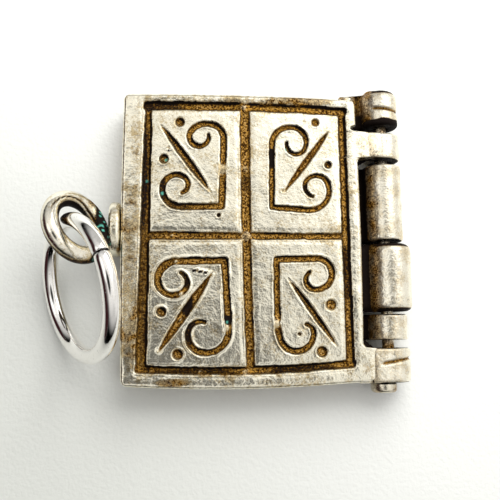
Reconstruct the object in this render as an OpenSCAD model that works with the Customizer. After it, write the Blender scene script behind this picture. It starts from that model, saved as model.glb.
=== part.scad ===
// Small cast silver charm in the shape of a book that opens on a barrel hinge.
// It lies closed on its back cover. X runs towards the spine, Y up the page, Z up.
// The origin is the middle of the back cover's outer face.

/* [Leaves] */
// Width of each leaf, from fore-edge to the edge at the spine
leaf_w = 13.2; // [10:0.1:18]
// Height of each leaf between its corners
leaf_h = 16.1; // [12:0.1:22]
// Thickness of each of the three leaves
leaf_t = 0.76; // [0.6:0.02:1]
// Clearance between two leaves
leaf_gap = 0.06; // [0.03:0.01:0.12]
// Radius of the leaf corners
corner_r = 0.35; // [0.1:0.05:1]
// How far the top edge bows out in the middle
top_bow = 0.12; // [0:0.02:0.4]
// How far the bottom edge bows out in the middle
bottom_bow = 0.26; // [0:0.02:0.5]
// How far the fore-edge bows out in the middle
side_bow = 0.1; // [0:0.02:0.3]
// How far the spine edge bows out in the middle
spine_bow = 0.14; // [0:0.02:0.2]

/* [Ornament] */
// Offset of the scrolls, spears and dots from the middle of the cover, along X
ornament_x = 0.25; // [-0.5:0.05:0.5]
// Depth of the cross grooves
cross_depth = 0.16; // [0.05:0.01:0.3]
// Depth of the border grooves
border_depth = 0.22; // [0.05:0.01:0.35]
// Width of the scroll lines
scroll_w = 0.34; // [0.15:0.01:0.5]
// Depth of the scroll lines
scroll_depth = 0.16; // [0.05:0.01:0.3]
// Width of the spear-shaped cuts at their middle
spear_w = 0.44; // [0.2:0.02:0.7]
// Depth of the spears and dots
spear_depth = 0.2; // [0.05:0.01:0.3]
// Diameter of the dots
dot_d = 0.48; // [0.3:0.02:0.8]

/* [Hinge] */
// Distance from the leaves' spine edge to the hinge axis
hinge_reach = 1.79; // [1.5:0.01:2.2]
// Diameter of the hinge pin
pin_d = 0.72; // [0.4:0.02:0.9]
// Radial running clearance round the pin
pin_clearance = 0.04; // [0.02:0.01:0.08]
// Diameter of the pin's head
pin_head_d = 1.48; // [1:0.02:1.8]
// Thickness of the pin's head
pin_head_t = 0.5; // [0.2:0.02:0.6]
// How far the worn head sits off the pin's axis, towards the leaves
pin_head_shift = 0.35; // [0:0.05:0.4]
// Depth of the decorative ring grooves on the end knuckles
knuckle_groove = 0.12; // [0.05:0.01:0.2]

/* [Bail] */
// Diameter of the thick wire of the bail loop
loop_wire_d = 0.92; // [0.7:0.02:1.1]
// Diameter of the bail loop, measured at the middle of its wire
loop_d = 3.32; // [3:0.02:3.6]
// Width of the oval plate under the bail loop, along the fore-edge
plate_w = 3.1; // [2:0.1:4]
// Height of the oval plate
plate_h = 2.5; // [2:0.05:2.8]
// Thickness of the oval plate
plate_t = 0.6; // [0.4:0.05:0.9]
// Clearance between the plate and the leaves that swing past it
plate_clearance = 0.12; // [0.05:0.01:0.3]

/* [Jump ring] */
// Diameter of the jump ring's wire
ring_wire_d = 0.88; // [0.6:0.02:1]
// Diameter of the jump ring, measured at the middle of its wire
ring_d = 7.06; // [6:0.02:7.6]
// Slope of the ring's plane above the table, in degrees
ring_slope = 58.7; // [50:0.1:70]
// Turn of the ring's lying side about the vertical, in degrees
ring_turn = 13.6; // [5:0.1:25]
// Width of the closing cut in the ring's wire
ring_cut = 0.06; // [0.02:0.01:0.2]

/* [Hidden] */

silver = [0.78, 0.75, 0.69];
dark_silver = [0.66, 0.62, 0.55];
bright_silver = [0.9, 0.9, 0.9];

half_w = leaf_w / 2;
half_h = leaf_h / 2;
leaf_pitch = leaf_t + leaf_gap;
page_z = leaf_pitch;
front_z = 2 * leaf_pitch;
front_top = front_z + leaf_t;
hinge_x = half_w + hinge_reach;
hinge_z = front_top / 2;
bore_r = pin_d / 2 + pin_clearance;
edge_steps = 8;
corner_step = 22.5;
curl_step = 20;
shoulder_run = 0.9;
over = 0.3;
round_fn = 64;
wire_fn = 48;

// Knuckles from the top of the spine to the bottom.
// Columns: lowest Y, highest Y, outer radius, shift of the barrel along X and Z
KNUCKLES = [
    [6.74, 8.90, 1.08, 0.00, 0.00],
    [4.68, 6.12, 1.10, 0.00, 0.00],
    [-0.04, 4.22, 1.12, 0.00, 0.00],
    [-4.08, -0.40, 1.28, 0.18, 0.10],
    [-5.76, -4.38, 1.10, 0.04, 0.00],
    [-8.14, -6.24, 1.16, 0.06, 0.00]
];
BACK_KNUCKLES = [0, 2, 4];
PAGE_KNUCKLES = [3];
FRONT_KNUCKLES = [1, 5];
pin_top = KNUCKLES[0][1];
pin_bottom = KNUCKLES[5][0] - 0.08;
// Heights of the ring grooves, as shares of the top and bottom knuckles' lengths
top_groove_at = 0.42;
low_groove_at = 0.62;

// Grooves of the border and the cross, each a bowed line whose width changes evenly.
// Columns: start X and Y, end X and Y, width at start and end, bow to the left of the way
BORDER_GROOVES = [
    [-5.45, 7.37, 5.98, 7.30, 0.46, 0.42, 0.10],
    [-5.80, -7.23, 6.06, -7.08, 0.38, 0.38, -0.30],
    [-5.25, 7.37, -5.55, -7.22, 0.36, 0.54, 0],
    [5.78, 7.30, 5.85, -7.08, 0.38, 0.42, 0]
];
CROSS_GROOVES = [
    [0.16, 7.40, 0.33, -7.40, 0.56, 0.42, -0.06],
    [-5.40, 0.02, 5.78, 0, 0.44, 0.32, 0]
];

// Scrolls, one row for each panel, measured from the ornament's middle.
// Columns: corner X and Y, turn of the upright arm (1 is counterclockwise), upright arm, level arm.
// Each arm has its heading, its straight length, then radius and sweep of the three arcs it curls through
SCROLLS = [
    [-1.44, 1.66, 1, [88, 3.86, 0.83, 71, 1.13, 72, 0.55, 234], [181, 2.28, 0.99, 94, 0.80, 110, 0.52, 136]],
    [1.37, 1.64, -1, [89, 3.63, 1.06, 106, 0.86, 109, 0.54, 156], [-4, 2.08, 1.15, 115, 0.69, 130, 0.60, 104]],
    [-1.30, -1.36, -1, [-87, 3.74, 1.21, 111, 0.92, 92, 0.66, 91], [181, 2.62, 1.05, 72, 0.86, 135, 0.65, 125]],
    [1.58, -1.30, 1, [-90, 3.42, 3.79, 14, 0.95, 176, 0.42, 75], [1, 2.28, 0.83, 105, 0.93, 82, 0.54, 137]]
];
// Spears, from the end by the outer corner to the end by the cross: X, Y, X, Y, width against spear_w
SPEARS = [
    [-4.85, 6.31, -2.04, 2.48, 1.0],
    [4.77, 6.16, 2.06, 2.49, 0.85],
    [-4.92, -6.32, -1.95, -1.99, 1.1],
    [4.91, -6.14, 2.20, -2.32, 0.8]
];
// Dots: X, Y, size against dot_d
DOTS = [
    [-3.75, 6.46, 1.15], [-4.64, 4.32, 1.1],
    [3.96, 6.61, 0.95], [4.64, 4.12, 0.92],
    [-4.73, -4.15, 1.1], [-3.87, -6.42, 1.2],
    [4.59, -3.84, 1.35], [4.03, -6.40, 1.3]
];

// Bail loop: centre, and the direction that its plane faces
loop_centre = [-8.95, 0.35, 3.30];
loop_facing = [0.70, 0.30, 0.645];
plate_x = -half_w - side_bow - plate_clearance;
plate_y = 0.5;
plate_z = 0.05;
seat_z = 0.08;

// The ring leans from its low outer side up over the bail and the fore-edge
ring_centre = [-8.66, -2.95, (ring_d / 2) * sin(ring_slope) + ring_wire_d / 2 + 0.02];
ring_cut_angle = 18;

// One bowed edge from point a to point b, bulging out by bow
function bowed_edge(a, b, bow) =
    let (d = b - a, out = [d[1], -d[0]] / norm(d))
    [for (i = [1 : edge_steps - 1]) let (t = i / edge_steps) a + d * t + out * bow * 4 * t * (1 - t)];

// Quarter turn round a corner, from angle start, counterclockwise
function corner_arc(centre, r, start) =
    [for (a = [start : corner_step : start + 90]) centre + r * [cos(a), sin(a)]];

function leaf_outline() =
    let (x = half_w - corner_r, y = half_h - corner_r)
    concat(
        corner_arc([-x, y], corner_r, 90),
        bowed_edge([-half_w, y], [-half_w, -y], side_bow),
        corner_arc([-x, -y], corner_r, 180),
        bowed_edge([-x, -half_h], [x, -half_h], bottom_bow),
        corner_arc([x, -y], corner_r, 270),
        bowed_edge([half_w, -y], [half_w, y], spine_bow),
        corner_arc([x, y], corner_r, 0),
        bowed_edge([x, half_h], [-x, half_h], top_bow)
    );

module leaf_plate(z) {
    translate([0, 0, z]) linear_extrude(height = leaf_t) polygon(leaf_outline());
}

// Cross-section of the strap that joins a leaf to a knuckle, in X and Z
module strap_section(z) {
    polygon([
        [half_w - over, z], [hinge_x, max(z, hinge_z - 1)],
        [hinge_x, min(z + leaf_t, hinge_z + 1)], [half_w - over, z + leaf_t]
    ]);
}

module along_y(y0, y1) {
    translate([0, y1, 0]) rotate([90, 0, 0]) linear_extrude(height = y1 - y0) children();
}

module knuckle(k, z) {
    row = KNUCKLES[k];
    along_y(row[0], row[1]) strap_section(z);
    along_y(row[0], row[1]) translate([hinge_x + row[3], hinge_z + row[4]])
        circle(r = row[2], $fn = round_fn);
}

module pin_bore() {
    translate([hinge_x, pin_top + 1, hinge_z]) rotate([90, 0, 0])
        cylinder(r = bore_r, h = leaf_h + 4, $fn = round_fn);
}

// Ring groove cut into a knuckle's outer side at height y
module barrel_groove(k, y) {
    row = KNUCKLES[k];
    translate([hinge_x + row[3], y, hinge_z + row[4]]) rotate([90, 0, 0])
        rotate_extrude($fn = round_fn) translate([row[2], 0]) circle(r = knuckle_groove, $fn = 24);
}

// Sloping shoulder where the back cover rises past the other leaves to its top knuckle
module spine_shoulder() {
    top = KNUCKLES[0][1];
    linear_extrude(height = leaf_t) polygon([
        [half_w - shoulder_run, half_h - 2 * over], [half_w - shoulder_run, half_h],
        [half_w - shoulder_run / 2, top], [half_w + over, top], [half_w + over, half_h - 2 * over]
    ]);
}

// A leaf with its knuckles, bored for the pin
module hinged_leaf(z, knuckles) {
    difference() {
        union() {
            leaf_plate(z);
            for (k = knuckles) knuckle(k, z);
        }
        pin_bore();
    }
}

function direction(a) = [cos(a), sin(a)];

// Points of an arc that starts at p with a heading and turns left (turn 1) or right (turn -1)
function arc(p, heading, turn, r, sweep) =
    let (n = ceil(sweep / curl_step), a = heading + turn * 90, centre = p + r * direction(a))
    [for (i = [1 : n]) centre - r * direction(a + turn * sweep * i / n)];

// Points of the arcs of a scroll's arm from column k on
function curl(p, heading, turn, arm, k) =
    k >= len(arm) ? [] :
    let (points = arc(p, heading, turn, arm[k], arm[k + 1]))
    concat(points, curl(points[len(points) - 1], heading + turn * arm[k + 1], turn, arm, k + 2));

function scroll_arm(corner, turn, arm) =
    let (start = corner + arm[1] * direction(arm[0]))
    concat([corner - scroll_w / 2 * direction(arm[0]), start], curl(start, arm[0], turn, arm, 2));

// Points on both sides of a path, making a line of the given width
function ribbon(path, w) =
    let (
        n = len(path),
        side = [for (i = [0 : n - 1])
            let (d = path[min(i + 1, n - 1)] - path[max(i - 1, 0)]) [-d[1], d[0]] / norm(d) * w / 2]
    )
    concat([for (i = [0 : n - 1]) path[i] + side[i]], [for (i = [n - 1 : -1 : 0]) path[i] - side[i]]);

// Outline of a bowed groove
function groove_outline(row) =
    let (
        a = [row[0], row[1]], b = [row[2], row[3]], d = b - a, left = [-d[1], d[0]] / norm(d),
        middle = [for (i = [0 : edge_steps])
            let (t = i / edge_steps) a + d * t + left * row[6] * 4 * t * (1 - t)],
        half = [for (i = [0 : edge_steps]) (row[4] + (row[5] - row[4]) * i / edge_steps) / 2]
    )
    concat([for (i = [0 : edge_steps]) middle[i] + left * half[i]],
        [for (i = [edge_steps : -1 : 0]) middle[i] - left * half[i]]);

module groove(row, depth) {
    translate([0, 0, front_top - depth]) linear_extrude(height = depth + over)
        polygon(groove_outline(row));
}

module cut_line(path, w, depth) {
    translate([ornament_x, 0, front_top - depth]) linear_extrude(height = depth + over)
        polygon(ribbon(path, w));
}

// One L-shaped scroll, whose two arms curl inwards from a corner
module scroll(row) {
    corner = [row[0], row[1]];
    cut_line(scroll_arm(corner, row[2], row[3]), scroll_w, scroll_depth);
    cut_line(scroll_arm(corner, -row[2], row[4]), scroll_w, scroll_depth);
}

// Spear: the overlap of two circles, as long as the distance between its ends
module spear(row) {
    a = [row[0], row[1]];
    b = [row[2], row[3]];
    w = spear_w * row[4];
    half = norm(b - a) / 2;
    r = (half * half + w * w / 4) / w;
    middle = (a + b) / 2;
    translate([ornament_x + middle[0], middle[1], front_top - spear_depth])
        rotate([0, 0, atan2(b[1] - a[1], b[0] - a[0])])
        linear_extrude(height = spear_depth + over) intersection() {
            translate([0, r - w / 2]) circle(r = r, $fn = 4 * round_fn);
            translate([0, w / 2 - r]) circle(r = r, $fn = 4 * round_fn);
        }
}

module ornament() {
    for (row = BORDER_GROOVES) groove(row, border_depth);
    for (row = CROSS_GROOVES) groove(row, cross_depth);
    for (row = SCROLLS) scroll(row);
    for (row = SPEARS) spear(row);
    for (row = DOTS)
        translate([ornament_x + row[0], row[1], front_top - spear_depth])
            cylinder(d = dot_d * row[2], h = spear_depth + over, $fn = 32);
}

// Oval plate of the bail, on a seat of solder that joins it to the back cover's fore-edge
module bail_plate() {
    flat = plate_w - plate_h;
    translate([plate_x, plate_y, plate_z + plate_h / 2]) rotate([0, -90, 0]) {
        translate([-plate_h / 2, -flat / 2, 0]) cube([plate_h, flat, plate_t]);
        for (s = [-1, 1])
            translate([0, s * flat / 2, 0]) cylinder(d = plate_h, h = plate_t, $fn = round_fn);
    }
    translate([plate_x - plate_t / 2, plate_y - plate_w / 4, seat_z])
        cube([plate_t / 2 - plate_x - half_w + over, plate_w / 2, leaf_t - 2 * seat_z]);
}

// Turns the Z axis to face a direction
module facing(v) {
    rotate([0, acos(v[2] / norm(v)), atan2(v[1], v[0])]) children();
}

module bail_loop() {
    translate(loop_centre) facing(loop_facing) rotate_extrude($fn = round_fn)
        translate([loop_d / 2, 0]) circle(d = loop_wire_d, $fn = wire_fn);
}

module back_cover() {
    color(dark_silver) {
        difference() {
            hinged_leaf(0, BACK_KNUCKLES);
            barrel_groove(0, KNUCKLES[0][0] + top_groove_at * (KNUCKLES[0][1] - KNUCKLES[0][0]));
        }
        spine_shoulder();
        bail_plate();
        bail_loop();
    }
}

module page_leaf() {
    color(dark_silver) hinged_leaf(page_z, PAGE_KNUCKLES);
}

module front_cover() {
    color(silver) difference() {
        hinged_leaf(front_z, FRONT_KNUCKLES);
        barrel_groove(5, KNUCKLES[5][0] + low_groove_at * (KNUCKLES[5][1] - KNUCKLES[5][0]));
        ornament();
    }
}

// Round pin with a low, off-centre head below the last knuckle
module hinge_pin() {
    color(dark_silver) translate([hinge_x, 0, hinge_z]) rotate([-90, 0, 0]) {
        translate([0, 0, pin_bottom - pin_head_t / 2])
            cylinder(d = pin_d, h = pin_top - pin_bottom + pin_head_t / 2, $fn = round_fn);
        translate([-pin_head_shift, 0, pin_bottom - pin_head_t])
            cylinder(d = pin_head_d, h = pin_head_t, $fn = round_fn);
    }
}

module jump_ring() {
    color(bright_silver) translate(ring_centre) rotate([0, 0, ring_turn]) rotate([0, -ring_slope, 0])
        rotate([0, 0, ring_cut_angle]) rotate_extrude(angle = 360 - atan(ring_cut / (ring_d / 2)), $fn = round_fn)
        translate([ring_d / 2, 0]) circle(d = ring_wire_d, $fn = wire_fn);
}

back_cover();
page_leaf();
front_cover();
hinge_pin();
jump_ring();
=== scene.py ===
"""Looks of the small silver book charm: cast leaves, hinge barrels, pin, bail and jump ring.

Lengths are in millimetres, in the frame of the CAD model, and become metres when a mesh is made.
The last number in each call of noise, and every seed, picks one of its fixed patterns.
"""
import math

import bpy
import numpy as np
from mathutils import Euler, Matrix, Vector


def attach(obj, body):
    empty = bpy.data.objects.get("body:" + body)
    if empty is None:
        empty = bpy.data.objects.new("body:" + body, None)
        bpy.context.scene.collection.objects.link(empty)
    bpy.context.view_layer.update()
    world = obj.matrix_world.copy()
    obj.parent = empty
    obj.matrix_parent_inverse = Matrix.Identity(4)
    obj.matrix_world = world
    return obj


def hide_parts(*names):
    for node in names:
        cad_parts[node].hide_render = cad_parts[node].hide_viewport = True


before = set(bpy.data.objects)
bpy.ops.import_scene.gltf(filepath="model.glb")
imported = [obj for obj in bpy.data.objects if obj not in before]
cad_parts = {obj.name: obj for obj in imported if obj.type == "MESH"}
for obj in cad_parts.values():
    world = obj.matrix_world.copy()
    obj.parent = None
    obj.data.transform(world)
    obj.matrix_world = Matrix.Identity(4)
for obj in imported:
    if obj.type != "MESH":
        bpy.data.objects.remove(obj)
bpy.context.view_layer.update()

MM = 0.001

# Leaves, as in the CAD model
LEAF_W = 13.2
LEAF_H = 16.1
LEAF_T = 0.76
LEAF_PITCH = 0.82
CORNER_R = 0.35
TOP_BOW = 0.12
BOTTOM_BOW = 0.26
SIDE_BOW = 0.1
SPINE_BOW = 0.14
HALF_W = LEAF_W / 2
HALF_H = LEAF_H / 2
FRONT_Z = 2 * LEAF_PITCH
FRONT_TOP = FRONT_Z + LEAF_T

# Meshes of the leaves; lines and rings are placed by their distance in from the edge
FRONT_STEP = 0.054
PLAIN_STEP = 0.12
EDGE_LINES = np.array([0, 0.012, 0.035, 0.065, 0.1, 0.15])
INNER_FROM = 0.2
FRONT_ROLL = 0.2
PLAIN_ROLL = 0.16
WALL_ROWS = 5
WALL_FOOT = 0.1
UNDERSIDE_RINGS = (0.03, 0.1, 0.3, *np.arange(0.8, 6.4, 0.5))
UNDERSIDE_LIFT = 0.024

# Ornament: widths as in the CAD model, depths within 0.02 mm of it
ORNAMENT_X = 0.25
CROSS_DEPTH = 0.15
BORDER_DEPTH = 0.24
SCROLL_HALF = 0.17
SCROLL_DEPTH = 0.17
SPEAR_HALF = 0.22
SPEAR_DEPTH = 0.21
DOT_R = 0.24
DOT_DEPTH = 0.2
CURL_STEP = 12

# Wear of the ornament; wobble and ragged edges have a height and a width
BORDER_SLOPE = 0.15
CROSS_SLOPE = 0.11
SCROLL_SLOPE = 0.1
SPEAR_SLOPE = 0.2
SCROLL_TAPER = 0.45
WOBBLE = (0.03, 0.6)
RAGGED = (0.022, 0.17)
SOFT_SIDE = 0.06
FULL_CUT = 0.1

# Grooves. Columns: start X and Y, end X and Y, width at start and end, bow to the left of the way
BORDER_GROOVES = [
    (-5.45, 7.37, 5.98, 7.3, 0.46, 0.42, 0.1),
    (-5.8, -7.15, 6.06, -7.06, 0.36, 0.37, -0.23),
    (-5.25, 7.37, -5.55, -7.22, 0.36, 0.54, 0),
    (5.78, 7.3, 5.85, -7.08, 0.38, 0.42, 0),
]
CROSS_GROOVES = [
    (0.16, 7.4, 0.33, -7.4, 0.56, 0.42, -0.06),
    (-5.4, 0.02, 5.78, 0, 0.44, 0.32, 0),
]
# Scrolls, from the ornament's middle: corner X and Y, width against SCROLL_HALF, turn of the
# upright arm (1 is counterclockwise), upright arm, level arm. Each arm has its heading and its
# straight length, then radius and sweep of three arcs
SCROLLS = [
    (-1.44, 1.66, 1, 1,
     (88, 3.86, 0.83, 71, 1.13, 72, 0.55, 234),
     (181, 2.28, 0.99, 94, 0.8, 110, 0.52, 136)),
    (1.37, 1.64, 0.86, -1,
     (89, 3.63, 1.06, 106, 0.86, 109, 0.54, 156),
     (-4, 2.08, 1.15, 115, 0.69, 130, 0.6, 104)),
    (-1.3, -1.36, 1.1, -1,
     (-87, 3.74, 1.21, 111, 0.92, 92, 0.66, 91),
     (181, 2.62, 1.05, 72, 0.86, 135, 0.65, 125)),
    (1.58, -1.3, 1, 1,
     (-90, 3.42, 3.79, 14, 0.95, 176, 0.42, 75),
     (1, 2.28, 0.83, 105, 0.93, 82, 0.54, 137)),
]
# Spears: outer end X and Y, inner end X and Y, width against SPEAR_HALF
SPEARS = [
    (-4.85, 6.31, -2.04, 2.48, 1),
    (4.77, 6.16, 2.06, 2.49, 0.85),
    (-4.92, -6.32, -1.95, -1.99, 1.1),
    (4.91, -6.14, 2.2, -2.32, 0.8),
]
# Dots, then small pits of the casting: X, Y, size against DOT_R, depth against DOT_DEPTH
DOTS = [
    (-3.75, 6.46, 1.15, 1),
    (-4.64, 4.32, 1.1, 1),
    (3.96, 6.61, 0.95, 0.8),
    (4.64, 4.12, 0.92, 0.8),
    (-4.73, -4.15, 1.1, 1),
    (-3.87, -6.42, 1.2, 1),
    (4.59, -3.84, 1.35, 0.7),
    (4.03, -6.4, 1.3, 0.9),
    (-1.61, 1.17, 0.5, 0.9),
    (2.79, -5.41, 0.5, 0.6),
    (-2.8, -1.92, 0.3, 0.6),
    (-2.55, -1.98, 0.3, 0.5),
    (-2.3, -2.05, 0.3, 0.6),
    (-4.35, 4.95, 0.25, 0.4),
    (2, 2.6, 0.25, 0.4),
]
# Places where wear has filled or rubbed away a cut: X, Y, radius, share that is gone
WORN_CUTS = [
    (-1.4, 3.78, 0.42, 0.95),
    (1.5, -4.85, 0.34, 0.95),
    (-0.1, 3.85, 0.45, 0.55),
    (-0.08, 0, 0.36, 0.9),
    (-0.16, 7.45, 0.3, 0.85),
    (0.7, 7.4, 0.7, 0.35),
    (2.7, 7.45, 0.9, 0.25),
    (-4.2, 0.02, 0.07, 0.9),
    (-3.98, -1.42, 0.13, 0.9),
    (-3.7, -3.2, 0.16, 0.9),
    (-1.25, -5.05, 0.35, 0.8),
    (-3.72, -4.6, 0.07, 0.9),
    (-2.7, -7.36, 0.16, 0.8),
    (-0.3, -7.41, 0.22, 0.8),
]

# Soft ovals on the front cover: X, Y, half width, half height, amount
SOOTY = [
    (-5.5, 3.6, 0.24, 3.6, 0.62),
    (-5.15, -5.2, 0.22, 2.2, 0.7),
    (-5.4, 0, 0.5, 8, 0.36),
    (-4.6, 7.4, 1.3, 0.4, 0.5),
    (-3.9, 1.6, 1, 0.9, 0.4),
    (-4.7, 2.6, 0.5, 1.2, 0.55),
    (1.62, 4.5, 0.3, 0.6, 0.8),
    (3.6, 2.5, 0.35, 0.55, 0.6),
    (-3.1, -3.7, 0.35, 0.7, 0.7),
    (-3.1, -2.3, 0.3, 0.6, 0.6),
    (-2.9, -5.2, 0.35, 0.8, 0.6),
    (-0.9, -4.6, 0.35, 0.25, 0.9),
    (5.8, -2, 0.4, 1.6, 0.5),
    (0.2, 3, 0.4, 0.5, 0.4),
    (3.4, -7.45, 2.2, 0.4, 0.5),
    (-2.6, -7.5, 2.6, 0.4, 0.45),
]
STAINS = [
    (-6.2, 1, 0.5, 1.3, 0.28),
    (-6.2, -3.6, 0.45, 4, 0.3),
    (-5.9, 5, 0.3, 2.5, 0.2),
    (-3.9, -7.9, 0.9, 0.22, 0.5),
    (3.5, 7.9, 2, 0.25, 0.4),
]
PITS = [
    (-1.36, 1.17, 0.09, 0.09, 1),
    (-4.1, 4.8, 0.06, 0.06, 0.7),
    (-4.1, 5.05, 0.05, 0.05, 0.6),
    (-2, 2.4, 0.06, 0.05, 0.5),
    (3.04, -5.41, 0.12, 0.12, 0.5),
    (-2.7, -1.92, 0.14, 0.09, 1),
    (-2.38, -1.98, 0.12, 0.08, 1),
    (-2.1, -2.03, 0.1, 0.07, 1),
]
GREEN_SPOTS = [
    (-4.25, 4.3, 0.1, 0.08, 0.9),
    (-4.45, 2.4, 0.08, 0.1, 0.9),
    (2.5, 4.98, 0.06, 0.1, 0.7),
    (-0.92, -4.72, 0.07, 0.07, 0.7),
    (-5.3, 3.1, 0.08, 0.08, 0.5),
]

# Front cover's face; ridges beside cuts have a height, a gain where rubbed, a gain at lower left
FINE_RIDGE = (0.006, 0.014, 0.038)
BROAD_RIDGE = (0.012, 0.014, 0)
RIDGE_AT = 0.05
RIDGE_SPREAD = 0.06
SHOULDER_DROP = 0.035
SHOULDER_REACH = 0.32
CUT_GRAIN = 0.016
BROAD_RIPPLE = 0.008
FINE_RIPPLE = 0.006
FACE_SINK = 0.01

# Tarnish and soot; the halos round cuts have an amount and a reach
CUT_TARNISH = 0.92
CUT_RUBBED = 0.2
HALO = (0.35, 0.045)
BROAD_HALO = (0.5, 0.09)
# LIT_ and DARK_ numbers set a painted highlight, less tarnish on cut walls facing the lit upper right, and
# painted shade on walls facing the lower left
LIT_SIDE_HIGHLIGHT = 0.3
RIM_BLOTCH = 0.36
DARK_FROM = 0.1
DARK_UNEVEN = 0.05
LIT_FROM = -0.03
SIDE_RUN = 0.08
FOOT_SOOT = 0.45
FOOT_SPREAD = 0.04
# Painted shade on the leaves' faces by the spine, between the leaves and the hinge
SPINE_SHADE_X = 6.2
SPINE_SHADE_RUN = 0.3

# Front cover at the spine: straps of its knuckles, fillets, the slit beside one, low corner
STRAP_REACH = 0.78
STRAP_RUN = 1.4
STRAP_ROWS = [(4.66, 6.17), (-9, -6.2)]
FILLET_R = 0.34
FILLETS_BELOW = 5
SLOT_Y = 6.36
SLOT_HALF = 0.17
SLOT_DEPTH = 0.3
CORNER_TRIM = 0.02
CORNER_TRIM_RUN = 0.5

# Hinge, as in the CAD model
SHOULDER_RUN = 0.9
HINGE_X = HALF_W + 1.79
HINGE_Z = FRONT_TOP / 2
PIN_R = 0.36
BORE_R = 0.4
PIN_HEAD_R = 0.74
PIN_HEAD_T = 0.5
PIN_HEAD_SHIFT = 0.35
PIN_TOP = 8.9
PIN_HEAD_TOP = -8.22

# Looks of the hinge
PIN_SIDES = 48
PIN_ROWS = 60
PIN_HEAD_ROUND = 0.2
PIN_HEAD_EDGE = 0.03
STRAP_ROOT = 0.3
STRAP_INSET = 0.015
OUTLINE_RAYS = 720
OUTLINE_POINTS = 96
ROUND_ROWS = 8
BARREL_STEP = 0.06
END_DROP = 0.2
CREASE_DEPTH = 0.08
GROOVE_DEPTH = 0.13
GROOVE_HALF = 0.15
GROOVE_SLANT = {"root": 0.08, "cover": -0.16}
# Painted shade on the straps in the gap beside the cover stops at this Y
GAP_SHADE_TOP = 7.75
# Columns: name, body, leaf's lowest Z, lowest and highest Y, radius, shift X and Z, rounding of
# the low and the high end, groove Y, distance of the strap's crease, height of painted shade at the low end
KNUCKLES = [
    ("knuckle_1", "root", 0, 6.7, 8.9, 1.08, 0, 0, 0.2, 0.55, 7.65, 0.5, 0.42),
    ("knuckle_2", "cover", FRONT_Z, 4.66, 6.17, 1.1, 0, 0, 0.14, 0.14, None, 0.25, 0),
    ("knuckle_3", "root", 0, -0.13, 4.32, 1.12, 0, 0, 0.16, 0.16, None, 0.5, 0),
    ("knuckle_4", "page", LEAF_PITCH, -4.18, -0.3, 1.28, 0.18, 0.1, 0.42, 0.46, None, 0.5, 0),
    ("knuckle_5", "root", 0, -5.78, -4.34, 1.1, 0.04, 0, 0.12, 0.16, None, 0.5, 0),
    ("knuckle_6", "cover", FRONT_Z, -8.14, -6.24, 1.16, 0.06, 0, 0.2, 0.14, -6.97, 0.5, 0),
]
CAD_NODE = {"root": "back_cover", "page": "page_leaf", "cover": "front_cover"}

# Bail, placed within 0.1 mm of the CAD model's, and jump ring as in the CAD model
LOOP_CENTRE = (-8.9, 0.33, 3.3)
LOOP_FACING = (0.7, 0.3, 0.645)
LOOP_R = 1.62
LOOP_WIRE_R = 0.46
PLATE_X = -HALF_W - SIDE_BOW - 0.04
PLATE_Y = 0.5
PLATE_Z = 0.05
PLATE_W = 3.1
PLATE_H = 2.5
PLATE_T = 0.62
SEAT_Z = 0.08
RING_R = 3.53
RING_WIRE_R = 0.44
RING_SLOPE = math.radians(58.7)
RING_TURN = math.radians(13.6)
RING_CENTRE = (-8.66, -2.95, RING_R * math.sin(RING_SLOPE) + RING_WIRE_R + 0.02)
RING_CUT = math.radians(18)

# Looks of the bail and the jump ring; the crease is placed in degrees
LOOP_TURNS = 144
WIRE_SIDES = 40
CREASE_MIDDLE = 70
CREASE_AT = 25
CREASE_LEAN = 0.25
CREASE_SPREAD = 7
CREASE_SINK = 0.16
JOINT_X = -8.15
JOINT_Y = -0.1
JOINT_Z = 2.1
JOINT_R = 0.8
PLATE_ROUND = 0.22
PLATE_SIDES = 72
RING_TURNS = 220
RING_GAP = 0.035
RING_SOFT_END = (0.05, 0.02, 0.005)

# Camera, tilted by degrees about X, Y and Z
CAMERA_AT = (-3.53, -5.57, 37.74)
CAMERA_TILT = (7.73, -6.24, 0.14)
SENSOR = 36
FOCAL_PIXELS = 650
IMAGE_PIXELS = 500

# Lamps. Columns: name, place, size, power, kind
LAMPS = [
    ("key", (20, 62, 64), 76, 0.09, "lighting"),
    ("glint", (48, 50, 62), 80, 0.018, "mirrored"),
]
LAMP_COLOUR = (1.0, 0.99, 0.96)

# Sky. Columns of its patches: degrees towards +X and +Y, full within, gone beyond
SKY_PATCHES = {
    "top": (3, 24, 8, 24),
    "right": (68, 0, 15, 50),
    "ceiling": (2, 6, 20, 60),
    "lens": (-5, -5, 7, 20),
    "wine": (-72, -35, 36, 46),
    "window": (-36, 9, 9, 19),
}
SKY_BASE = 0.55
SKY_BRIGHT = {"top": 0.11, "right": 0.3, "ceiling": 0.35}
SKY_DIM = 0.97
SKY_WINDOW = 0.45
SKY_SEEN = 0.85
SKY_HORIZON = (-0.1, 0.5)
SKY_LEAN = (-0.85, -0.5, 0.55)
WINE_HEIGHT = (0.42, 0.62)
WINE_HIGH_LOSS = 0.55
WINE_LEVEL = 0.4
SKY_COLOUR = (1.0, 0.99, 0.965)
SKY_WINE = (0.16, 0.05, 0.06)

# Colours
DEEP_BROWN = (0.035, 0.012, 0.002)
GOLD_BROWN = (0.5, 0.255, 0.036)
# Black of the soot, and of the painted shade that the same tint carries
SOOT_AND_SHADE_BLACK = (0.008, 0.005, 0.004)
VERDIGRIS = (0.1, 0.4, 0.32)
# Floor's pale colour, and its colour under the painted shade at the lower left
FLOOR_PALE = (0.892, 0.907, 0.888)
FLOOR_DIM = (0.695, 0.714, 0.681)

# Floor
FLOOR_FADE = (-26, 4)
FLOOR_ROUGHNESS = 0.5
FLOOR_GRAIN = 0.26
FLOOR_RELIEF = 0.03
FLOOR_HALF = 400

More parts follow.
